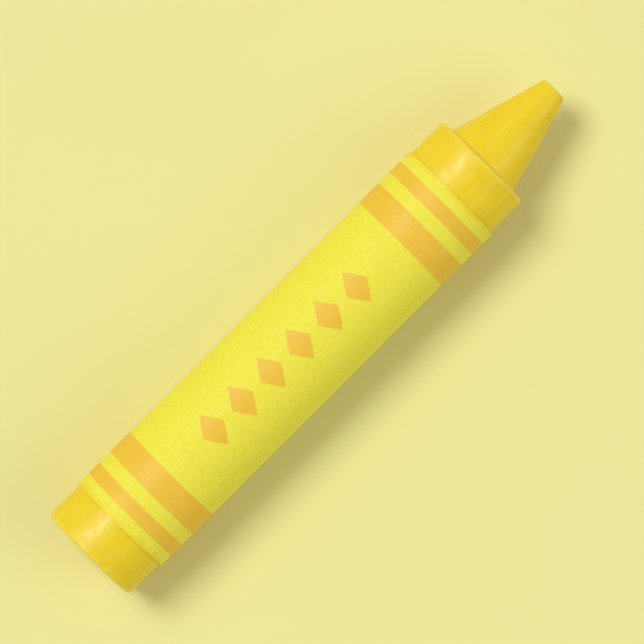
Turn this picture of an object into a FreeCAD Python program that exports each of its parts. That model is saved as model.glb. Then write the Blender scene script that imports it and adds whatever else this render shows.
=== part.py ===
import FreeCAD, Part
import math
import os

# A thick wax crayon for small hands, lying on its side on a table.
#
# X runs along the crayon from the flat butt to the blunt tip, Z is up, and the origin is on
# the table under the middle of the crayon. All sizes are in millimetres.
#
# The crayon is one moulded stick of wax. A strip of thin paper is pasted round it, a little
# over two turns, so the cross-section of the paper is a spiral with one edge against the wax
# and one edge showing as a lap along the label. The printed ink lies flush in the paper.

# ---- driving dimensions ----
LENGTH = 92.0
LABEL_DIAMETER = 16.3  # over the paper, taken half-way round the outer turn
BUTT_LENGTH = 6.2  # bare wax behind the label
COLLAR_LENGTH = 6.2  # bare wax in front of the label
CONE_LENGTH = 14.3
CONE_BASE_DIAMETER = 12.0
TIP_DIAMETER = 3.9

BARREL_ROUND = 0.5  # round on the two ends of the barrel
TIP_ROUND = 0.45
CONE_ROOT_ROUND = 0.35  # fillet where the cone stands on the shoulder
DISH_DIAMETER = 9.0  # the butt sinks a little in the middle as the wax cools
DISH_DEPTH = 0.25

PAPER = 0.09
PASTE = 0.03
INK = 0.03
TURNS = 2
LAP_ANGLE = 30.0  # how far the strip runs past its full turns, in degrees
LAP_EDGE_ANGLE = -20.0  # where the outer edge lies, in degrees from +Y towards +Z
PASTE_INSET = 0.8  # the paste stops short of the paper's two long edges

BAND_MARGIN = 1.9  # paper left plain outside the narrow band
NARROW_BAND = 2.15
BAND_GAP = 2.1
WIDE_BAND = 3.9

MARK_COUNT = 6
MARK_PITCH = 5.6
MARK_LENGTH = 3.9  # along the crayon
MARK_HEIGHT = 5.7  # across the crayon

# ---- worked out from the dimensions above ----
BUTT_X = -LENGTH / 2
TIP_X = LENGTH / 2
LABEL_START_X = BUTT_X + BUTT_LENGTH
SHOULDER_X = TIP_X - CONE_LENGTH
LABEL_END_X = SHOULDER_X - COLLAR_LENGTH
LABEL_LENGTH = LABEL_END_X - LABEL_START_X

PITCH = PAPER + PASTE  # how much the spiral grows in one turn
SPIRAL_END = 360.0 * TURNS + LAP_ANGLE
OUTER_TURN_START = SPIRAL_END - 360.0
STRIP_START_ANGLE = LAP_EDGE_ANGLE - LAP_ANGLE

# The strip's inner face leaves the axis by INNER_EDGE_RADIUS at its start, and by PITCH more
# after each turn, which makes the label LABEL_DIAMETER half-way round its outer turn.
TURNS_TO_MIDDLE = (SPIRAL_END - 180.0) / 360.0
INNER_EDGE_RADIUS = LABEL_DIAMETER / 2 - PAPER - TURNS_TO_MIDDLE * PITCH
FIRST_ARC_RADIUS = INNER_EDGE_RADIUS + PITCH / 4
WAX_RADIUS = INNER_EDGE_RADIUS - PASTE


def section_direction(angle):
    """The unit vector across the crayon at an angle from +Y towards +Z."""
    turn = math.radians(angle)
    return FreeCAD.Vector(0, math.cos(turn), math.sin(turn))


def spiral_point(x, along, offset, half_turn):
    """A point of the spiral at x, along degrees from the strip's inner edge.

    The spiral is half circles about two centres, a quarter of the pitch either side of the
    axis, so that it grows by half the pitch in each. offset is 0 on the paper's inner face
    and PAPER on its outer face.
    """
    side = -1 if half_turn % 2 == 0 else 1
    centre = section_direction(STRIP_START_ANGLE) * (side * PITCH / 4)
    radius = FIRST_ARC_RADIUS + half_turn * PITCH / 2 + offset
    return FreeCAD.Vector(x, 0, 0) + centre + section_direction(STRIP_START_ANGLE + along) * radius


def spiral_arcs(x, offset, start, end):
    """The arcs of the spiral from start to end degrees, which may run backwards."""
    low, high = min(start, end), max(start, end)
    arcs = []
    for half_turn in range(math.floor(low / 180.0), math.ceil(high / 180.0)):
        first = max(low, 180.0 * half_turn)
        last = min(high, 180.0 * (half_turn + 1))
        angles = [first, (first + last) / 2, last]
        if start > end:
            angles.reverse()
        points = [spiral_point(x, angle, offset, half_turn) for angle in angles]
        arcs.append(Part.Arc(*points).toShape())
    if start > end:
        arcs.reverse()
    return arcs


def closed_wire(*runs):
    """One wire of several runs of edges, joined end to end by straight lines."""
    edges = []
    for number, run in enumerate(runs):
        following = runs[(number + 1) % len(runs)]
        edges += run
        edges.append(Part.LineSegment(end_of(run[-1]), start_of(following[0])).toShape())
    return Part.Wire(edges)


def start_of(edge):
    return edge.valueAt(edge.FirstParameter)


def end_of(edge):
    return edge.valueAt(edge.LastParameter)


def make_wax_stick():
    """The moulded stick, with a dished butt, a barrel, a shoulder and a blunt cone."""
    cone_base, tip = CONE_BASE_DIAMETER / 2, TIP_DIAMETER / 2
    slope = math.atan2(cone_base - tip, CONE_LENGTH)
    # Tangent lengths of the rounds at the cone's root and at the tip's edge.
    root_reach = CONE_ROOT_ROUND * math.tan((math.pi / 2 - slope) / 2)
    tip_reach = TIP_ROUND * math.tan((math.pi / 2 - slope) / 2)
    along_cone = FreeCAD.Vector(math.cos(slope), -math.sin(slope), 0)
    root_corner = FreeCAD.Vector(SHOULDER_X, cone_base, 0)
    tip_corner = FreeCAD.Vector(TIP_X, tip, 0)

    def corner(x, radius):
        return FreeCAD.Vector(x, radius, 0)

    def round_between(start, end, centre, radius):
        """A round about centre from start to end, by the short way."""
        middle = ((start + end) * 0.5 - centre).normalize() * radius + centre
        return Part.Arc(start, middle, end).toShape()

    def line(start, end):
        return Part.LineSegment(start, end).toShape()

    dish_edge = corner(BUTT_X, DISH_DIAMETER / 2)
    dish_middle = corner(BUTT_X + DISH_DEPTH, 0)
    half_way = DISH_DIAMETER / 4
    dish_radius = ((DISH_DIAMETER / 2) ** 2 + DISH_DEPTH**2) / (2 * DISH_DEPTH)
    dish_at_half_way = DISH_DEPTH - dish_radius + math.sqrt(dish_radius**2 - half_way**2)
    dish = Part.Arc(dish_middle, corner(BUTT_X + dish_at_half_way, half_way), dish_edge).toShape()

    butt_round_in = corner(BUTT_X, WAX_RADIUS - BARREL_ROUND)
    butt_round_out = corner(BUTT_X + BARREL_ROUND, WAX_RADIUS)
    butt_centre = corner(BUTT_X + BARREL_ROUND, WAX_RADIUS - BARREL_ROUND)
    shoulder_round_in = corner(SHOULDER_X - BARREL_ROUND, WAX_RADIUS)
    shoulder_round_out = corner(SHOULDER_X, WAX_RADIUS - BARREL_ROUND)
    shoulder_centre = corner(SHOULDER_X - BARREL_ROUND, WAX_RADIUS - BARREL_ROUND)

    root_in = root_corner + FreeCAD.Vector(0, root_reach, 0)
    root_out = root_corner + along_cone * root_reach
    root_centre = root_in + FreeCAD.Vector(CONE_ROOT_ROUND, 0, 0)
    tip_in = tip_corner - along_cone * tip_reach
    tip_out = tip_corner - FreeCAD.Vector(0, tip_reach, 0)
    tip_centre = tip_out - FreeCAD.Vector(TIP_ROUND, 0, 0)

    tip_middle = corner(TIP_X, 0)
    profile = [
        dish,
        line(dish_edge, butt_round_in),
        round_between(butt_round_in, butt_round_out, butt_centre, BARREL_ROUND),
        line(butt_round_out, shoulder_round_in),
        round_between(shoulder_round_in, shoulder_round_out, shoulder_centre, BARREL_ROUND),
        line(shoulder_round_out, root_in),
        round_between(root_in, root_out, root_centre, CONE_ROOT_ROUND),
        line(root_out, tip_in),
        round_between(tip_in, tip_out, tip_centre, TIP_ROUND),
        line(tip_out, tip_middle),
        line(tip_middle, dish_middle),
    ]
    face = Part.Face(Part.Wire(profile))
    return face.revolve(FreeCAD.Vector(0, 0, 0), FreeCAD.Vector(1, 0, 0), 360)


def spiral_solid(start_x, length, runs):
    """A prism along X whose cross-section is bounded by runs of the spiral."""
    outline = closed_wire(*[spiral_arcs(start_x, *run) for run in runs])
    return Part.Face(outline).extrude(FreeCAD.Vector(length, 0, 0))


def make_paper():
    """The strip before its print is let in: two turns and a lap."""
    runs = [(0, 0, SPIRAL_END), (PAPER, SPIRAL_END, 0)]
    return spiral_solid(LABEL_START_X, LABEL_LENGTH, runs)


def make_paste_film():
    """The paste that fills the space from the wax to the paper, and between the turns."""
    runs = [(0, 0, SPIRAL_END), (PAPER, OUTER_TURN_START, 0)]
    start_x = LABEL_START_X + PASTE_INSET
    length = LABEL_LENGTH - 2 * PASTE_INSET
    start = FreeCAD.Vector(start_x, 0, 0)
    wax = Part.makeCylinder(WAX_RADIUS, length, start, FreeCAD.Vector(1, 0, 0))
    return spiral_solid(start_x, length, runs).cut(wax)


def make_ink_layer(start_x, length):
    """Ink all round the outer turn, flush with the paper's outer face."""
    runs = [(PAPER - INK, OUTER_TURN_START, SPIRAL_END), (PAPER, SPIRAL_END, OUTER_TURN_START)]
    return spiral_solid(start_x, length, runs)


def make_bands():
    """A narrow and a wide band near each end of the label, the narrow one outside."""
    narrow_in = BAND_MARGIN + NARROW_BAND
    wide_out = narrow_in + BAND_GAP
    wide_in = wide_out + WIDE_BAND
    return {
        "butt_end_narrow_band": make_ink_layer(LABEL_START_X + BAND_MARGIN, NARROW_BAND),
        "butt_end_wide_band": make_ink_layer(LABEL_START_X + wide_out, WIDE_BAND),
        "tip_end_wide_band": make_ink_layer(LABEL_END_X - wide_in, WIDE_BAND),
        "tip_end_narrow_band": make_ink_layer(LABEL_END_X - narrow_in, NARROW_BAND),
    }


def make_panel_marks():
    """A row of plain lozenges along the top of the label, cut from one layer of ink."""
    row_length = MARK_PITCH * (MARK_COUNT - 1) + MARK_LENGTH
    middle_x = (LABEL_START_X + LABEL_END_X) / 2
    ink = make_ink_layer(middle_x - row_length / 2, row_length)
    marks = []
    for number in range(MARK_COUNT):
        x = middle_x + MARK_PITCH * (number - (MARK_COUNT - 1) / 2)
        corners = [
            FreeCAD.Vector(x - MARK_LENGTH / 2, 0, 0),
            FreeCAD.Vector(x, -MARK_HEIGHT / 2, 0),
            FreeCAD.Vector(x + MARK_LENGTH / 2, 0, 0),
            FreeCAD.Vector(x, MARK_HEIGHT / 2, 0),
        ]
        outline = Part.Face(Part.makePolygon(corners + corners[:1]))
        cutter = outline.extrude(FreeCAD.Vector(0, 0, LABEL_DIAMETER))
        marks.append(ink.common(cutter).Solids[0])
    return Part.makeCompound(marks)


def make_crayon():
    """Every piece by name, in its place on the table."""
    prints = make_bands()
    prints["panel_marks"] = make_panel_marks()
    paper = make_paper()
    for ink in prints.values():
        paper = paper.cut(ink)
    pieces = {"wax_stick": make_wax_stick(), "paste_film": make_paste_film(), "paper_label": paper}
    pieces.update(prints)

    # The crayon was drawn about its own axis, and now rests on the table on its label.
    table = FreeCAD.Vector(0, 0, -paper.optimalBoundingBox().ZMin)
    return {name: shape.translated(table) for name, shape in pieces.items()}


os.makedirs("parts", exist_ok=True)
for name, shape in make_crayon().items():
    box = shape.optimalBoundingBox()
    print(
        f"{name}: {len(shape.Solids)} solid(s), valid {shape.isValid()}, {shape.Volume:.2f} mm3, "
        f"x {box.XMin:.3f} to {box.XMax:.3f}, y {box.YMin:.3f} to {box.YMax:.3f}, "
        f"z {box.ZMin:.3f} to {box.ZMax:.3f}"
    )
    shape.exportStep(f"parts/{name}.step")
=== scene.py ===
import math

import bpy
import numpy as np
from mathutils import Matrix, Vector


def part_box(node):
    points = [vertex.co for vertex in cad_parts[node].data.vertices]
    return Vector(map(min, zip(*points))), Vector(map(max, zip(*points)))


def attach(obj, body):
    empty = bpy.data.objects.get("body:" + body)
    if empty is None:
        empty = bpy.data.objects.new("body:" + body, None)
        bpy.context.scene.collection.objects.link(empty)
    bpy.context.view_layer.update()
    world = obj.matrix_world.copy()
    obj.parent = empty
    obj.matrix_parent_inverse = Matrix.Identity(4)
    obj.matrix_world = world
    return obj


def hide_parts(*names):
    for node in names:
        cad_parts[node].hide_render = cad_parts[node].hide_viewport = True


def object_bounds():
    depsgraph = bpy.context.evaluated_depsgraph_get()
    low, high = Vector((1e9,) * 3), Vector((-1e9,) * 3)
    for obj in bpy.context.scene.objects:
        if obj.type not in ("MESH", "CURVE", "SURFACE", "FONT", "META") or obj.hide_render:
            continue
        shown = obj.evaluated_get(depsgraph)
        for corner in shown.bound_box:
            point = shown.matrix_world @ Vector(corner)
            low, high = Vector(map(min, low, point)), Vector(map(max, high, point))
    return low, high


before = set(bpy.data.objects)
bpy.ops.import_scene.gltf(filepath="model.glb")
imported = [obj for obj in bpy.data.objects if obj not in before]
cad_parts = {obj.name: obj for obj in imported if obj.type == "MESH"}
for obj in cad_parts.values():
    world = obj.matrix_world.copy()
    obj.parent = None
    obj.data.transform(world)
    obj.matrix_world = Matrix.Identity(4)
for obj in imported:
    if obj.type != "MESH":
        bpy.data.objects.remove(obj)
CAD_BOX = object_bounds()

# A thick wax crayon that lies on its side, with a paper label pasted round it.
#
# X runs from the flat butt to the blunt tip and Z is up. Blender works in metres, and the
# sizes below are written in millimetres, times MM.

MM = 0.001

# ---- the label's winding, as it was designed ----
PAPER = 0.09 * MM
PASTE = 0.03 * MM
PITCH = PAPER + PASTE  # how much the winding grows in one turn
STRIP_END = 750  # degrees along the strip, from its inner edge to its outer edge
OUTER_TURN = STRIP_END - 360  # where the part of the strip that shows begins
OUTER_MIDDLE = OUTER_TURN + 180  # half-way round that part
HIDDEN_JOIN = 360  # under the lap, where the visible turn's mesh takes over
STRIP_START_ANGLE = -50  # where the inner edge lies, in degrees from +Y towards +Z

# ---- the print ----
MARK_COUNT = 6
MARK_LENGTH = 3.9 * MM
INK_PROUD = 0.005 * MM  # how far the ink stands over the paper
INK_SUNK = 0.004 * MM  # and how far it reaches in
INK_SPACING = 0.35 * MM  # between a band's rows of points
BANDS = (
    "butt_end_narrow_band",
    "butt_end_wide_band",
    "tip_end_wide_band",
    "tip_end_narrow_band",
)

# ---- places read from the frame ----
WAX_LOW, WAX_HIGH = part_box("wax_stick")
LABEL_LOW, LABEL_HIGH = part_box("paper_label")
AXIS_Z = (WAX_LOW[2] + WAX_HIGH[2]) / 2
WAX_RADIUS = (WAX_HIGH[2] - WAX_LOW[2]) / 2
LABEL_START, LABEL_END = LABEL_LOW[0], LABEL_HIGH[0]

# ---- colours, as linear red, green and blue ----
GOLD = (0.896, 0.665, 0.010)
DEEP_GOLD = (0.875, 0.605, 0.006)
# painted shade, for the small pits in the wax
PIT_SHADE_GOLD = (0.700, 0.420, 0.004)
PALE_GOLD = (0.930, 0.750, 0.060)
BLOOM_GOLD = (0.950, 0.800, 0.170)
LEMON = (0.888, 0.810, 0.044)
WARM_LEMON = (0.880, 0.760, 0.030)
PALE_LEMON = (0.905, 0.850, 0.110)
PAPER_CORE = (0.850, 0.800, 0.420)
ORANGE_GOLD = (0.896, 0.560, 0.042)
DEEP_ORANGE = (0.860, 0.480, 0.025)
DRY_PASTE = (0.800, 0.740, 0.520)
PASTE_SHADE = (0.680, 0.600, 0.380)
BACKGROUND = (0.870, 0.820, 0.340)


# ======== relief: small seeded departures from the drawn shape ========


def soft_noise(points, size, seed):
    """Smooth random values from -1 to 1 at points, with bumps about size apart."""
    side = 32
    lattice = np.random.default_rng(seed).uniform(-1, 1, (side, side, side))
    place = points / size + 1000
    cell = np.floor(place).astype(int)
    part = place - cell
    part = part * part * (3 - 2 * part)
    total = np.zeros(points.shape[:-1])
    for corner in np.ndindex(2, 2, 2):
        weight = np.prod(np.where(corner, part, 1 - part), axis=-1)
        near = (cell + corner) % side
        total += weight * lattice[near[..., 0], near[..., 1], near[..., 2]]
    return total


def bell(distance, width):
    """1 at no distance, falling smoothly to nothing past about twice the width."""
    return np.exp(-((distance / width) ** 2))


def dents(points, spots):
    """How far to move inwards at points, for spots of (place, radius, depth)."""
    total = np.zeros(points.shape[:-1])
    for place, radius, depth in spots:
        away = np.linalg.norm(points - place, axis=-1)
        # A pressed dent throws up a low rim round itself.
        total += depth * (bell(away, radius) - 0.2 * bell(away - 1.5 * radius, 0.4 * radius))
    return total


# ======== meshes ========


def grid_faces(rows, columns, start=0, closed=False, flipped=False):
    """The quads of a grid of points that begins at the index start."""
    row = np.arange(rows - 1)[:, None] * columns
    column = np.arange(columns if closed else columns - 1)[None, :]
    after = (column + 1) % columns
    quads = np.stack([row + column, row + after, row + columns + after, row + columns + column], -1)
    quads = quads.reshape(-1, 4) + start
    return quads[:, ::-1] if flipped else quads


def new_piece(name, points, faces, crease=40):
    """A smooth-shaded mesh object, sharp only where its faces meet at over crease degrees."""
    mesh = bpy.data.meshes.new(name)
    mesh.from_pydata(points.reshape(-1, 3).tolist(), [], [list(face) for face in faces])
    mesh.validate()
    mesh.shade_smooth()
    mesh.set_sharp_from_angle(angle=math.radians(crease))
    piece = bpy.data.objects.new(name, mesh)
    bpy.context.collection.objects.link(piece)
    return piece


def sheet_faces(rows, columns, start=0):
    """A closed thin shell of an outer grid followed by an inner grid, and its rim's faces."""
    inner = start + rows * columns
    faces = [
        grid_faces(rows, columns, start),
        grid_faces(rows, columns, inner, flipped=True),
    ]
    low_row = np.arange(columns)
    high_row = low_row + (rows - 1) * columns
    low_column = np.arange(rows) * columns
    high_column = low_column + columns - 1
    rim = []
    for line, turned in ((low_row, True), (high_row, False), (low_column, False), (high_column, True)):
        outside = line + start
        inside = line + inner
        quads = np.stack([outside[:-1], outside[1:], inside[1:], inside[:-1]], -1)
        rim.append(quads[:, ::-1] if turned else quads)
    return np.concatenate(faces), np.concatenate(rim)


def add_attribute(piece, name, values):
    """Gives each point of the piece a number from 0 to 1, which its material reads."""
    piece.data.attributes.new(name, "FLOAT", "POINT").data.foreach_set("value", values)


def finish_piece(piece, node, slot, *materials):
    """Puts the piece in the frame in place of a CAD node, with its materials."""
    for material in materials:
        piece.data.materials.append(material)
    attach(piece, "root")
    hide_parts(node)


# ======== the wax stick ========

WAX_COLUMNS = 320
WAX_SPACING = 0.16 * MM  # between rings where the wax shows
HIDDEN_SPACING = 1.6 * MM  # and under the label
FINE_STEP = 0.04 * MM  # how closely the outline is drawn before rings are picked from it
SMOOTHING_STEPS = 6  # how many fine steps either way the outline's rounds are smoothed over
SMOOTHING_WIDTH = 3.2  # of the bell that does it, in the same steps
ON_BARREL = 0.9 * WAX_RADIUS  # only the barrel is thicker than this
HIDDEN_MARGIN = 1.2 * MM  # how far inside the label's ends the rings get sparse
HIDDEN_DROP = 0.01 * MM  # how far the wax under the label is kept below its drawn shape
DROP_MARGIN = 0.3 * MM  # and how far inside the label's ends that starts
BLADE_LEAN = 14  # degrees from level, of the streaks that the blade left across the butt
BLADE_DEPTH = 0.035 * MM
NEAR = 0.05 * MM  # points of the outline this close in x belong to one edge or face


def cad_outline():
    """The stick's outline as (x, radius), from the middle of the butt to the middle of the tip.

    Seen from the middle of the stick, its points come in the order of their direction.
    """
    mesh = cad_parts["wax_stick"].data
    points = np.array([vertex.co for vertex in mesh.vertices])
    radius = np.hypot(points[:, 1], points[:, 2] - AXIS_Z)
    outline = np.unique(np.round(np.stack([points[:, 0], radius], -1), 6), axis=0)
    outline = outline[np.argsort(-np.arctan2(outline[:, 1], outline[:, 0]))]
    butt, tip = outline[0].copy(), outline[-1].copy()
    butt[1] = tip[1] = 0
    return np.concatenate([[butt], outline[1:-1], [tip]])


OUTLINE = cad_outline()
OUTLINE_X, OUTLINE_RADIUS = OUTLINE[:, 0], OUTLINE[:, 1]
BUTT_X, TIP_X = OUTLINE_X.min(), OUTLINE_X.max()
SHOULDER_X = OUTLINE_X[(OUTLINE_X > LABEL_END) & (OUTLINE_RADIUS > ON_BARREL)].max()
DISH_RADIUS = OUTLINE_RADIUS[OUTLINE_X < BUTT_X + 0.01 * NEAR].min()
CONE_BASE_RADIUS = OUTLINE_RADIUS[OUTLINE_X > SHOULDER_X + NEAR].max()
TIP_RADIUS = OUTLINE_RADIUS[OUTLINE_X > TIP_X - NEAR].max()


def wax_rings():
    """Rings of the stick as x, radius, the outward direction of the surface, and its bend."""
    steps = np.hypot(*np.diff(OUTLINE, axis=0).T)
    along = np.concatenate([[0], np.cumsum(steps)])
    fine = np.arange(0, along[-1], FINE_STEP)
    x = np.interp(fine, along, OUTLINE_X)
    radius = np.interp(fine, along, OUTLINE_RADIUS)

    # The CAD mesh has few points on its small rounds, so they are smoothed.
    kernel = bell(np.arange(-SMOOTHING_STEPS, SMOOTHING_STEPS + 1), SMOOTHING_WIDTH)
    kernel /= kernel.sum()
    longer_x = np.pad(x, SMOOTHING_STEPS, mode="reflect", reflect_type="even")
    longer_radius = np.pad(radius, SMOOTHING_STEPS, mode="reflect", reflect_type="odd")
    x = np.convolve(longer_x, kernel, "valid")
    radius = np.convolve(longer_radius, kernel, "valid")

    # So is the shallow dish in the butt.
    depth = OUTLINE_X[0] - BUTT_X
    dished = (radius < DISH_RADIUS) & (x < 0)
    x[dished] = BUTT_X + depth * (1 - (radius[dished] / DISH_RADIUS) ** 2)

    kept, last = [0], 0.0
    for number in range(1, len(fine)):
        hidden = LABEL_START + HIDDEN_MARGIN < x[number] < LABEL_END - HIDDEN_MARGIN
        gap = HIDDEN_SPACING if hidden and radius[number] > ON_BARREL else WAX_SPACING
        if fine[number] - last >= gap:
            kept.append(number)
            last = fine[number]
    if kept[-1] != len(fine) - 1:
        kept.append(len(fine) - 1)
    slope_x, slope_r = np.gradient(x), np.gradient(radius)
    length = np.hypot(slope_x, slope_r)
    normal = np.stack([-slope_r / length, slope_x / length], -1)
    turning = np.abs(np.gradient(np.unwrap(np.arctan2(slope_r, slope_x)))) / FINE_STEP
    return x[kept], radius[kept], normal[kept], turning[kept]


def wax_spots():
    """Chips on the rims and soft dents on the open surfaces, as (place, radius, depth)."""
    random = np.random.default_rng(41)
    rim_radius = 0.975 * WAX_RADIUS
    # Each row is x, radius, how many, and the least and most reach and depth in millimetres.
    rims = (
        (BUTT_X + 0.15 * MM, rim_radius, 9, (0.25, 0.62), (0.05, 0.16)),
        (SHOULDER_X - 0.05 * MM, rim_radius, 7, (0.22, 0.5), (0.04, 0.12)),
        (TIP_X - 0.05 * MM, TIP_RADIUS, 4, (0.18, 0.34), (0.03, 0.08)),
    )
    # Here the first four are x and radius at the surface's start, and x and radius at its end.
    sides = (
        (BUTT_X, WAX_RADIUS, LABEL_START, WAX_RADIUS, 7, (0.4, 1.1), (0.015, 0.05)),
        (LABEL_END, WAX_RADIUS, SHOULDER_X, WAX_RADIUS, 7, (0.4, 1.0), (0.015, 0.05)),
        (SHOULDER_X, CONE_BASE_RADIUS, TIP_X, TIP_RADIUS, 12, (0.3, 0.9), (0.01, 0.045)),
    )
    spots = []

    def add(x, radius, reach, depth):
        turn = random.uniform(0, 2 * math.pi)
        place = np.array([x, radius * math.cos(turn), AXIS_Z + radius * math.sin(turn)])
        spots.append((place, random.uniform(*reach) * MM, random.uniform(*depth) * MM))

    for x, radius, count, reach, depth in rims:
        for _ in range(count):
            add(x, radius, reach, depth)
    for start, start_radius, end, end_radius, count, reach, depth in sides:
        for _ in range(count):
            x = random.uniform(start + 1 * MM, end - 1 * MM)
            share = (x - start) / (end - start)
            add(x, start_radius + share * (end_radius - start_radius), reach, depth)
    return spots


def scrape(points):
    """From 0 to 1, how deeply a blade cut its streaks as it trimmed the butt's flat ring."""
    # The streaks deepen outwards from the dish's edge, and end on the butt's rounded rim.
    radius = np.hypot(points[..., 1], points[..., 2] - AXIS_Z)
    past_dish = np.clip((radius - DISH_RADIUS) / (0.25 * MM), 0, 1)
    behind = np.clip(1 - (points[..., 0] - BUTT_X) / (0.12 * MM), 0, 1)
    lean = math.radians(BLADE_LEAN)
    across = points[..., 2] * math.cos(lean) + points[..., 1] * math.sin(lean)
    along = points[..., 1] * math.cos(lean) - points[..., 2] * math.sin(lean)
    streaks = soft_noise(np.stack([0 * along, 0.07 * along, across], -1), 0.38 * MM, 4)
    return past_dish * behind * np.clip(0.30 + 1.1 * streaks, 0, 1)


def wax_relief(points):
    """Height of the cast surface over its drawn shape: slow waves and ripples."""
    height = 0.016 * MM * soft_noise(points, 5.0 * MM, 1)
    height += 0.007 * MM * soft_noise(points, 1.7 * MM, 2)
    height += 0.003 * MM * soft_noise(points, 0.6 * MM, 3)
    return height


def make_wax_stick(material):
    """The stick as one closed mesh of rings, finer where it shows."""
    x, radius, normal, turning = wax_rings()
    turn = np.linspace(0, 2 * math.pi, WAX_COLUMNS, endpoint=False)
    across = np.stack([np.cos(turn), np.sin(turn)], -1)

    ring_x = np.repeat(x[:, None], WAX_COLUMNS, 1)
    drawn = np.stack(
        [ring_x, radius[:, None] * across[:, 0], AXIS_Z + radius[:, None] * across[:, 1]], -1
    )
    outwards = np.stack(
        [
            np.repeat(normal[:, [0]], WAX_COLUMNS, 1),
            normal[:, [1]] * across[:, 0],
            normal[:, [1]] * across[:, 1],
        ],
        -1,
    )
    scraped = scrape(drawn)
    height = wax_relief(drawn) - dents(drawn, wax_spots()) - BLADE_DEPTH * scraped
    under_label = (ring_x > LABEL_START + DROP_MARGIN) & (ring_x < LABEL_END - DROP_MARGIN)
    height = np.where(under_label & (radius[:, None] > ON_BARREL), -HIDDEN_DROP, height)
    points = drawn + outwards * height[..., None]

    # The first and last rings are drawn together into one point each.
    rows = len(x)
    rings = points[1:-1].reshape(-1, 3)
    butt, tip = points[0].mean(axis=0), points[-1].mean(axis=0)
    every = np.concatenate([rings, [butt, tip]])
    faces = grid_faces(rows - 2, WAX_COLUMNS, closed=True).tolist()
    butt_index, tip_index = len(rings), len(rings) + 1
    last_ring = (rows - 3) * WAX_COLUMNS
    for column in range(WAX_COLUMNS):
        after = (column + 1) % WAX_COLUMNS
        faces.append([butt_index, after, column])
        faces.append([tip_index, last_ring + column, last_ring + after])
    stick = new_piece("crayon_wax", every, faces, crease=60)

    # How sharply the outline bends, from 0 to 1, tells the material where wax is rubbed pale.
    rim = np.clip(turning * 0.5 * MM, 0, 1)
    add_attribute(stick, "rim", np.concatenate([np.repeat(rim[1:-1], WAX_COLUMNS), [0, 0]]))
    add_attribute(stick, "scraped", np.concatenate([scraped[1:-1].reshape(-1), [0, 0]]))
    finish_piece(stick, "wax_stick", "wax", material)


# ======== the paper label ========


def in_outer_turn(angle):
    """How far along the strip its outer turn passes an angle from +Y towards +Z, in degrees."""
    return OUTER_TURN + (angle - STRIP_START_ANGLE - OUTER_TURN) % 360


TOP = in_outer_turn(90)
BOTTOM = in_outer_turn(270)
OVER_INNER_EDGE = in_outer_turn(STRIP_START_ANGLE)

# The radius of the strip's inner face at its start, from the height of the CAD label.
LABEL_HEIGHT = LABEL_HIGH[2] - LABEL_LOW[2]
STRIP_RADIUS = (LABEL_HEIGHT - 2 * PAPER - PITCH * (TOP + BOTTOM) / 360) / 2

SKEW = 0.10 * MM  # how far the strip wanders towards the tip in one turn
SHOWN_ROWS = 118  # of points from one long edge of the strip to the other
SHOWN_CROWDING = 1.7
HIDDEN_ROWS = 5
HIDDEN_STEP = 2  # degrees between the hidden turn's points

# Soft creases in the paper, each as x, degrees along the strip, length, slant and height.
CREASES = (
    (-21 * MM, 455, 17 * MM, 0.05, 0.036 * MM),
    (6 * MM, 560, 12 * MM, -0.09, 0.034 * MM),
    (14 * MM, 430, 9 * MM, 0.14, 0.038 * MM),
    (-30 * MM, 600, 10 * MM, -0.06, 0.036 * MM),
    (-8 * MM, 665, 20 * MM, 0.03, 0.030 * MM),
    (-16 * MM, 520, 7 * MM, 0.30, 0.022 * MM),
)
# Soft dents in the paper, each as x, degrees along the strip, radius and depth.
LABEL_DENTS = (
    (-12 * MM, 478, 1.6 * MM, 0.045 * MM),
    (19 * MM, 530, 1.2 * MM, 0.050 * MM),
    (-27 * MM, 535, 1.0 * MM, 0.045 * MM),
    (3 * MM, 640, 1.8 * MM, 0.060 * MM),
    (-35 * MM, 470, 0.9 * MM, 0.040 * MM),
    (22 * MM, 440, 1.0 * MM, 0.045 * MM),
    (-3 * MM, 545, 1.3 * MM, 0.040 * MM),
)


def round_crayon(degrees):
    """The distance round the crayon that some degrees of the winding take up."""
    return np.radians(degrees) * WAX_RADIUS


def unrolled(x, along):
    """Places on the strip laid flat, for patterns that follow the paper."""
    return np.stack([x, round_crayon(along), np.zeros_like(x)], -1)


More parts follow.
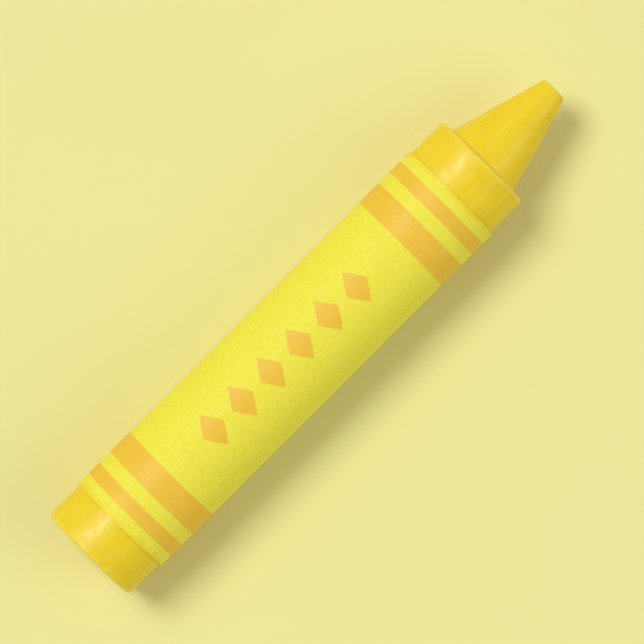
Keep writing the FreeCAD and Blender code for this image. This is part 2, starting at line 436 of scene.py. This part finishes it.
def paper_relief(x, along):
    """Height of the outer turn over its drawn spiral."""
    flat = unrolled(x, along)
    height = 0.012 * MM * soft_noise(flat, 7.0 * MM, 11)
    height += 0.005 * MM * soft_noise(flat * (0.35, 1.0, 1.0), 1.4 * MM, 12)
    for crease_x, crease_along, length, slant, rise in CREASES:
        here = x - crease_x
        off_line = round_crayon(along - crease_along) - slant * here
        height += rise * bell(off_line, 0.34 * MM) * bell(here, length / 2)
    for dent_x, dent_along, reach, depth in LABEL_DENTS:
        away = np.hypot(x - dent_x, round_crayon(along - dent_along))
        height -= depth * bell(away, reach)

    # The inner edge two layers down shows through as a low ridge.
    height += 0.03 * MM * bell(round_crayon(along - OVER_INNER_EDGE), 0.45 * MM)

    # Damp paste made the paper cockle beside the lap.
    to_edge = round_crayon(STRIP_END - along)
    ripples = soft_noise(flat * (1.0, 0.25, 1.0), 2.2 * MM, 17)
    height += 0.022 * MM * ripples * bell(to_edge - 2.2 * MM, 2.4 * MM)

    # Both ends of the wound strip stand off the wax a little, more in some places than others.
    end_gap = np.minimum(x - LABEL_START, LABEL_END - x)
    loose = 0.5 + 0.5 * soft_noise(unrolled(0 * x, along), 5.0 * MM, 13)
    height += 0.045 * MM * loose * np.exp(-np.clip(end_gap, 0, None) / (0.6 * MM))

    # The lap's free edge lifts where the paste missed it, and most at its corner by the tip.
    lift = 0.5 + 0.5 * soft_noise(unrolled(x, 0 * along), 6.0 * MM, 14)
    height += 0.05 * MM * lift * np.exp(-to_edge / (0.8 * MM))
    corner = np.hypot(to_edge, LABEL_END - x)
    height += 0.16 * MM * bell(corner, 1.6 * MM)
    return height


def wander(along):
    """How far the strip has moved along the crayon by a place in its winding."""
    return SKEW * (along - OUTER_MIDDLE) / 360


def strip_point(x, along, height):
    """A point at a height over the strip's drawn outer face."""
    radius = STRIP_RADIUS + PAPER + PITCH * along / 360 + height
    turn = np.radians(STRIP_START_ANGLE + along)
    return np.stack([x, radius * np.cos(turn), AXIS_Z + radius * np.sin(turn)], -1)


def cut_ends(along):
    """Where the strip's two long edges run, with the slight unevenness of a cut."""
    edge = unrolled(np.zeros_like(along), along)
    start = LABEL_START + wander(along) + 0.025 * MM * soft_noise(edge, 1.5 * MM, 15)
    end = LABEL_END + wander(along) + 0.025 * MM * soft_noise(edge, 1.5 * MM, 16)
    return start, end


def end_weighted(count, crowding):
    """Numbers from 0 to 1, closer together towards both ends."""
    even = np.linspace(-1, 1, count)
    return 0.5 + 0.5 * np.tanh(crowding * even) / math.tanh(crowding)


def wound_grid(share, along, shows):
    """The outer and inner faces of a stretch of the strip, as one array of points each."""
    start, end = cut_ends(along)
    x = start + share[:, None] * (end - start)
    turn = np.repeat(along[None, :], len(share), 0)
    height = paper_relief(x, turn) if shows else np.zeros_like(x)
    return strip_point(x, turn, height), strip_point(x, turn, height - PAPER)


def make_label(paper, core):
    """The strip as two closed sheets, the hidden first turn and the turn that shows."""
    hidden_turn = np.arange(0.0, HIDDEN_JOIN + 1, HIDDEN_STEP)
    shown_turn = np.arange(float(HIDDEN_JOIN), STRIP_END + 1)
    stretches = (
        (np.linspace(0, 1, HIDDEN_ROWS), hidden_turn, False),
        (end_weighted(SHOWN_ROWS, SHOWN_CROWDING), shown_turn, True),
    )
    points, laps, sheets, rims, start = [], [], [], [], 0
    for share, along, shows in stretches:
        outer, inner = wound_grid(share, along, shows)
        lap = np.exp(-round_crayon(STRIP_END - along) / (1.3 * MM))
        laps.append(np.tile(lap, 2 * len(share)))
        faces, rim = sheet_faces(len(share), len(along), start)
        points += [outer.reshape(-1, 3), inner.reshape(-1, 3)]
        sheets.append(faces)
        rims.append(rim)
        start += 2 * len(share) * len(along)
    faces = np.concatenate(sheets + rims)
    label = new_piece("crayon_label", np.concatenate(points), faces)

    # The strip's own edges show the paper's core, which is the second material.
    cut = np.zeros(len(faces), int)
    cut[sum(len(sheet) for sheet in sheets):] = 1
    label.data.polygons.foreach_set("material_index", cut)
    add_attribute(label, "near_lap", np.concatenate(laps))
    finish_piece(label, "paper_label", "label_paper", paper, core)


# ======== the print ========


def ink_sheet(x, along):
    """The points and faces of a thin closed film of ink that follows the paper."""
    height = paper_relief(x, along)
    outer = strip_point(x, along, height + INK_PROUD)
    inner = strip_point(x, along, height - INK_SUNK)
    faces, rim = sheet_faces(*x.shape)
    return np.concatenate([outer.reshape(-1, 3), inner.reshape(-1, 3)]), np.concatenate([faces, rim])


def make_band(node, ink):
    """A printed band all round the label, with slightly ragged edges."""
    low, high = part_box(node)
    width = high[0] - low[0]
    along = np.arange(float(OUTER_TURN), STRIP_END + 1)
    share = np.linspace(0, 1, 2 + round(width / INK_SPACING))
    edge = unrolled(np.zeros_like(along), along)
    ragged = 0.012 * MM * soft_noise(edge, 0.5 * MM, len(node))
    x = low[0] + wander(along) + ragged + share[:, None] * width
    points, faces = ink_sheet(x, np.repeat(along[None, :], len(share), 0))
    finish_piece(new_piece(f"crayon_{node}", points, faces), node, "label_ink", ink)


def make_marks(ink):
    """The row of plain lozenges, as films of ink on the top of the label."""
    low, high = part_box("panel_marks")
    pitch = (high[0] - low[0] - MARK_LENGTH) / (MARK_COUNT - 1)
    half_height = (high[1] - low[1]) / 2
    fullness = 1.06  # 1 gives straight sides and sharp corners, and 2 an ellipse
    bluntness = 0.004  # how wide the two end corners are, as a share of the whole width
    share = np.sin(np.linspace(-math.pi / 2, math.pi / 2, 41))
    taper = (1 - np.abs(share) ** fullness) ** (1 / fullness)
    taper = np.maximum(taper, bluntness)
    across = np.linspace(1, -1, 25)
    top_radius = STRIP_RADIUS + PAPER + PITCH * TOP / 360

    points, faces, start = [], [], 0
    for number in range(MARK_COUNT):
        middle = low[0] + MARK_LENGTH / 2 + number * pitch
        y = half_height * taper[:, None] * across
        along = TOP - np.degrees(np.arcsin(y / top_radius))
        x = np.repeat(middle + share[:, None] * MARK_LENGTH / 2, len(across), 1)
        mark, quads = ink_sheet(x, along)
        points.append(mark)
        faces.append(quads + start)
        start += len(mark)
    marks = new_piece("crayon_panel_marks", np.concatenate(points), np.concatenate(faces))
    finish_piece(marks, "panel_marks", "label_ink", ink)


# ======== materials ========


class Look:
    """A node material being put together. Most methods add a node and return its output."""

    def __init__(self, name, **constants):
        self.material = bpy.data.materials.new(name)
        self.material.use_nodes = True
        self.tree = self.material.node_tree
        self.shader = self.tree.nodes["Principled BSDF"]
        for socket, value in constants.items():
            self.shader.inputs[socket.replace("_", " ")].default_value = value
        self.metres = self.tree.nodes.new("ShaderNodeTexCoord").outputs["Object"]
        self.place = self.stretched(1, 1, 1)

    def node(self, kind, inputs, output=0, **settings):
        made = self.tree.nodes.new(kind)
        for setting, value in settings.items():
            setattr(made, setting, value)
        for socket, value in inputs.items():
            if isinstance(value, bpy.types.NodeSocket):
                self.tree.links.new(value, made.inputs[socket])
            else:
                made.inputs[socket].default_value = value
        return made.outputs[output]

    def stretched(self, x, y, z, tilt=0.0, lean=0.0):
        """Places in millimetres, each axis times its own factor.

        Before that they are turned, by a tilt about Z or a lean about X, in degrees.
        """
        scale = (x / MM, y / MM, z / MM)
        turn = (math.radians(lean), 0, math.radians(tilt))
        turned = self.node(
            "ShaderNodeMapping", {"Vector": self.metres, "Rotation": turn}, vector_type="POINT"
        )
        return self.node("ShaderNodeMapping", {"Vector": turned, "Scale": scale})

    def noise(self, per_mm, detail=2.0, place=None, roughness=0.5):
        inputs = {
            "Vector": place or self.place,
            "Scale": per_mm,
            "Detail": detail,
            "Roughness": roughness,
        }
        return self.node("ShaderNodeTexNoise", inputs)

    def cells(self, per_mm, place=None):
        """The distance to the nearest of many scattered points."""
        inputs = {"Vector": place or self.place, "Scale": per_mm}
        return self.node("ShaderNodeTexVoronoi", inputs)

    def ramp(self, value, low, high, to_low=0.0, to_high=1.0):
        """The value moved from the range low to high, onto the range to_low to to_high."""
        inputs = {0: value, 1: low, 2: high, 3: to_low, 4: to_high}
        return self.node("ShaderNodeMapRange", inputs, interpolation_type="SMOOTHSTEP")

    def attribute(self, name):
        return self.node("ShaderNodeAttribute", {}, "Fac", attribute_name=name)

    def along_x(self):
        return self.node("ShaderNodeSeparateXYZ", {0: self.place}, "X")

    def combine(self, operation, first, second):
        return self.node("ShaderNodeMath", {0: first, 1: second}, operation=operation)

    def times(self, first, second):
        return self.combine("MULTIPLY", first, second)

    def plus(self, first, second):
        return self.combine("ADD", first, second)

    def minus(self, first, second):
        return self.combine("SUBTRACT", first, second)

    def larger(self, first, second):
        return self.combine("MAXIMUM", first, second)

    def mix(self, factor, first, second):
        """The first colour where the factor is 0, and the second where it is 1."""
        inputs = {0: factor}
        for socket, colour in ((6, first), (7, second)):
            fixed = isinstance(colour, tuple)
            inputs[socket] = (*colour, 1) if fixed else colour
        return self.node("ShaderNodeMix", inputs, 2, data_type="RGBA")

    def feed(self, socket, value):
        self.tree.links.new(value, self.shader.inputs[socket])

    def bump(self, height, distance):
        inputs = {"Height": height, "Distance": distance, "Strength": 1.0}
        self.feed("Normal", self.node("ShaderNodeBump", inputs))


def dashes(look, spacing, length, width, tilt=0.0):
    """1 on scattered thin dashes, in millimetres, at a tilt in degrees to the crayon's length."""
    away = look.cells(1 / spacing, look.stretched(width / length, 1, 1, tilt))
    reach = width / spacing
    return look.ramp(away, 0.3 * reach, 0.5 * reach, 1, 0)


def bubbles(look, spacing, reach):
    """1 in small pits of uneven size, at most reach across their middle, in millimetres."""
    uneven = look.ramp(look.noise(0.8, 2), 0.40, 0.75, 0.15, 1)
    edge = look.times(uneven, reach / spacing)
    away = look.combine("DIVIDE", look.cells(1 / spacing), edge)
    return look.ramp(away, 0.55, 1.0, 1, 0)


def wax_material():
    """Coloured paraffin: pale where rubbed, with a soft uneven shine, and painted shade in its pits.
    """
    look = Look("wax_golden", Subsurface_Weight=0.22, Subsurface_Scale=0.9 * MM, IOR=1.44)
    look.shader.inputs["Subsurface Radius"].default_value = (1.0, 0.62, 0.12)

    clouds = look.ramp(look.noise(0.28, 3), 0.30, 0.72)
    colour = look.mix(look.times(clouds, 0.8), GOLD, DEEP_GOLD)
    draws = look.ramp(look.noise(1.3, 2, look.stretched(0.12, 1, 1)), 0.42, 0.75)
    colour = look.mix(look.times(draws, 0.35), colour, PALE_GOLD)

    # Wax bloom: a pale haze on rubbed rims and in drifting patches.
    grain = look.noise(2.2, 3)
    rubbed = look.times(look.attribute("rim"), look.ramp(grain, 0.30, 0.66))
    haze = look.times(look.ramp(look.noise(0.16, 4), 0.52, 0.78), look.ramp(grain, 0.35, 0.7))
    colour = look.mix(look.times(rubbed, 0.55), colour, BLOOM_GOLD)
    colour = look.mix(look.times(haze, 0.40), colour, PALE_GOLD)

    long_scratches = dashes(look, 0.75, 6.5, 0.20, 6)
    short_scratches = dashes(look, 0.50, 2.2, 0.15, -35)
    fine_scratches = dashes(look, 0.34, 3.2, 0.09, 14)
    scratches = look.larger(long_scratches, short_scratches)
    scratches = look.larger(scratches, look.times(fine_scratches, 0.7))
    colour = look.mix(look.times(scratches, 0.45), colour, BLOOM_GOLD)
    # Small bubble pits, sunk by the bump below, and their colour darkened as painted shade.
    pits = look.larger(bubbles(look, 1.7, 0.17), bubbles(look, 0.7, 0.07))
    colour = look.mix(look.times(pits, 0.7), colour, PIT_SHADE_GOLD)

    # The blade left the butt's ring paler and duller in its streaks, with fine lines in each.
    strokes = look.noise(2.6, 3, look.stretched(1, 0.03, 1, lean=BLADE_LEAN))
    lines = look.ramp(strokes, 0.42, 0.58, 0.2, 1)
    scraped = look.times(look.attribute("scraped"), lines)
    colour = look.mix(look.times(scraped, 0.75), colour, BLOOM_GOLD)
    look.feed("Base Color", colour)

    shine = look.ramp(look.noise(0.5, 4), 0.3, 0.7, 0.30, 0.46)
    shine = look.plus(shine, look.times(haze, 0.14))
    shine = look.plus(shine, look.times(scraped, 0.16))
    look.feed("Roughness", look.plus(shine, look.times(scratches, 0.12)))

    height = look.plus(look.times(look.noise(1.1, 3), 0.55), look.times(look.noise(4.5, 2), 0.18))
    height = look.plus(height, look.times(draws, 0.10))
    height = look.minus(height, look.times(scratches, 0.5))
    height = look.minus(height, look.times(pits, 0.9))
    height = look.minus(height, look.times(scraped, 0.8))
    look.bump(height, 0.035 * MM)
    return look.material


def fibres(look):
    """The paper's relief, from 0 to 1: fine grain along the strip's roll, and single fibres."""
    grain = look.noise(5.5, 3, look.stretched(0.35, 1, 1), 0.6)
    clouds = look.noise(2.0, 4)
    felt = look.plus(look.times(grain, 0.55), look.times(clouds, 0.45))
    some = dashes(look, 0.45, 1.1, 0.05, 20)
    others = dashes(look, 0.5, 0.9, 0.05, -50)
    return look.plus(felt, look.times(look.larger(some, others), 0.10))


def near_label_ends(look):
    """1 at the label's two ends, fading over about a millimetre with an uneven front."""
    x = look.along_x()
    to_start = look.minus(x, LABEL_START / MM)
    to_end = look.minus(LABEL_END / MM, x)
    gap = look.combine("MINIMUM", to_start, to_end)
    front = look.plus(gap, look.ramp(look.noise(0.7, 3), 0.3, 0.7, -0.45, 0.45))
    return look.ramp(front, 0.1, 0.95, 1, 0)


def paper_material():
    """Uncoated lemon paper: fibres, faint handling marks, and wax soaked in at its two ends."""
    look = Look("label_paper_lemon", IOR=1.42, Sheen_Weight=0.04, Sheen_Roughness=0.5)
    weave = fibres(look)
    colour = look.mix(look.times(look.ramp(weave, 0.44, 0.62), 0.8), LEMON, PALE_LEMON)
    colour = look.mix(look.times(look.ramp(weave, 0.49, 0.38), 0.7), colour, WARM_LEMON)
    handled = look.ramp(look.noise(0.11, 4), 0.50, 0.75)
    colour = look.mix(look.times(handled, 0.35), colour, WARM_LEMON)
    soaked = near_label_ends(look)
    colour = look.mix(look.times(soaked, 0.55), colour, GOLD)
    pasted = look.times(look.attribute("near_lap"), look.ramp(look.noise(0.45, 3), 0.38, 0.60))
    colour = look.mix(look.times(pasted, 0.45), colour, WARM_LEMON)
    look.feed("Base Color", colour)

    dull = look.ramp(look.noise(0.8, 3), 0.3, 0.7, 0.58, 0.74)
    look.feed("Roughness", look.minus(dull, look.times(soaked, 0.14)))
    look.bump(weave, 0.024 * MM)
    return look.material


def ink_material():
    """Orange-gold ink on the same paper, thinner on high fibres, with a few pinholes."""
    look = Look("label_ink_orange_gold", IOR=1.45)
    weave = fibres(look)
    density = look.ramp(look.noise(0.7, 4), 0.32, 0.70)
    colour = look.mix(look.times(density, 0.35), ORANGE_GOLD, DEEP_ORANGE)
    thin = look.ramp(weave, 0.52, 0.66)
    colour = look.mix(look.times(thin, 0.28), colour, LEMON)
    pinholes = look.ramp(look.cells(1.3), 0.06, 0.11, 1, 0)
    colour = look.mix(look.times(pinholes, 0.75), colour, LEMON)
    look.feed("Base Color", colour)
    look.feed("Roughness", look.ramp(weave, 0.35, 0.65, 0.46, 0.60))
    look.bump(weave, 0.02 * MM)
    return look.material


def core_material():
    """The strip's cut edge, where the paper's own pale fibres show."""
    look = Look("label_paper_cut_edge", Roughness=0.85)
    fuzz = look.ramp(look.noise(7, 3), 0.35, 0.65)
    look.feed("Base Color", look.mix(look.times(fuzz, 0.6), PAPER_CORE, WARM_LEMON))
    look.bump(fuzz, 0.01 * MM)
    return look.material


def paste_material():
    """Dried flour paste, dull and uneven."""
    look = Look("dry_paste", Roughness=0.8)
    lumps = look.noise(1.6, 4)
    look.feed("Base Color", look.mix(look.ramp(lumps, 0.35, 0.65), DRY_PASTE, PASTE_SHADE))
    look.bump(lumps, 0.01 * MM)
    return look.material


def floor_material():
    """Plain pale card."""
    look = Look("floor_card", Roughness=1.0, Specular_IOR_Level=0.0)
    tone = look.ramp(look.noise(0.02, 3), 0.3, 0.7)
    shade = tuple(0.985 * value for value in BACKGROUND)
    look.feed("Base Color", look.mix(tone, BACKGROUND, shade))
    return look.material


# ======== the stage, the lights and the camera ========

# The radius of the floor's innermost ring, and of its edge, in metres.
FLOOR_MIDDLE = 0.05
FLOOR_REACH = 3.5

SKY_LEVEL = 0.43
FLOOR_LEVEL = 0.97  # how bright the floor comes out, as a share of its colour


def make_stage(material):
    """A level floor as far as any camera sees, of rings that get wider outwards."""
    rings = np.geomspace(FLOOR_MIDDLE, FLOOR_REACH, 12)
    columns = 64
    turn = np.linspace(0, 2 * math.pi, columns, endpoint=False)
    circle = np.stack([np.cos(turn), np.sin(turn), 0 * turn], -1)
    points = rings[:, None, None] * circle
    faces = grid_faces(len(rings), columns, closed=True, flipped=True).tolist()
    faces.append(list(range(columns)))
    floor = new_piece("floor", points, faces)
    floor.data.materials.append(material)


def add_soft_sun(name, heading, height, width, strength):
    """A light from far off, wide enough to give soft shadows. Its three angles are in degrees.

    The heading goes from +X towards +Y, and the height is above the floor.
    """
    data = bpy.data.lights.new(name, "SUN")
    data.angle = math.radians(width)
    data.energy = strength
    light = bpy.data.objects.new(name, data)
    bpy.context.collection.objects.link(light)
    light.rotation_euler = (0, math.radians(90 - height), math.radians(heading))


def light_stage():
    """Even white light from all round, and a plain backdrop in the floor's own colour."""
    world = bpy.data.worlds.new("studio")
    bpy.context.scene.world = world
    world.use_nodes = True
    tree = world.node_tree
    sky = tree.nodes["Background"]
    sky.inputs["Color"].default_value = (1.0, 0.99, 0.97, 1)
    sky.inputs["Strength"].default_value = SKY_LEVEL
    backdrop = tree.nodes.new("ShaderNodeBackground")
    backdrop.inputs["Color"].default_value = (*BACKGROUND, 1)
    backdrop.inputs["Strength"].default_value = FLOOR_LEVEL
    seen = tree.nodes.new("ShaderNodeLightPath").outputs["Is Camera Ray"]
    either = tree.nodes.new("ShaderNodeMixShader")
    tree.links.new(seen, either.inputs[0])
    tree.links.new(sky.outputs[0], either.inputs[1])
    tree.links.new(backdrop.outputs[0], either.inputs[2])
    tree.links.new(either.outputs[0], tree.nodes["World Output"].inputs["Surface"])
    add_soft_sun("key", heading=98, height=60, width=24, strength=1.68)
    add_soft_sun("fill", heading=-60, height=38, width=40, strength=0.46)


FRAME_WIDTH = 90 * MM  # what the camera takes in at the crayon's height
LENS = 400  # long, because the crayon is seen with hardly any perspective
SIGHT = 10  # how far the camera sees, in metres, which is past the floor's edge


def add_camera():
    """Looks straight down, turned so that the crayon runs from lower left to upper right."""
    data = bpy.data.cameras.new("camera")
    data.lens = LENS
    data.clip_end = SIGHT
    camera = bpy.data.objects.new("camera", data)
    bpy.context.collection.objects.link(camera)
    middle = (CAD_BOX[0] + CAD_BOX[1]) / 2
    distance = FRAME_WIDTH * data.lens / data.sensor_width
    camera.location = (middle[0], middle[1], middle[2] + distance)
    camera.rotation_euler = (0, 0, math.radians(-45))
    bpy.context.scene.camera = camera


add_camera()
bpy.context.scene.view_settings.view_transform = "Standard"
light_stage()
make_stage(floor_material())

ink = ink_material()
make_wax_stick(wax_material())
make_label(paper_material(), core_material())
for band in BANDS:
    make_band(band, ink)
make_marks(ink)

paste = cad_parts["paste_film"]
dried_paste = paste_material()
for slot in paste.material_slots:
    slot.material = dried_paste
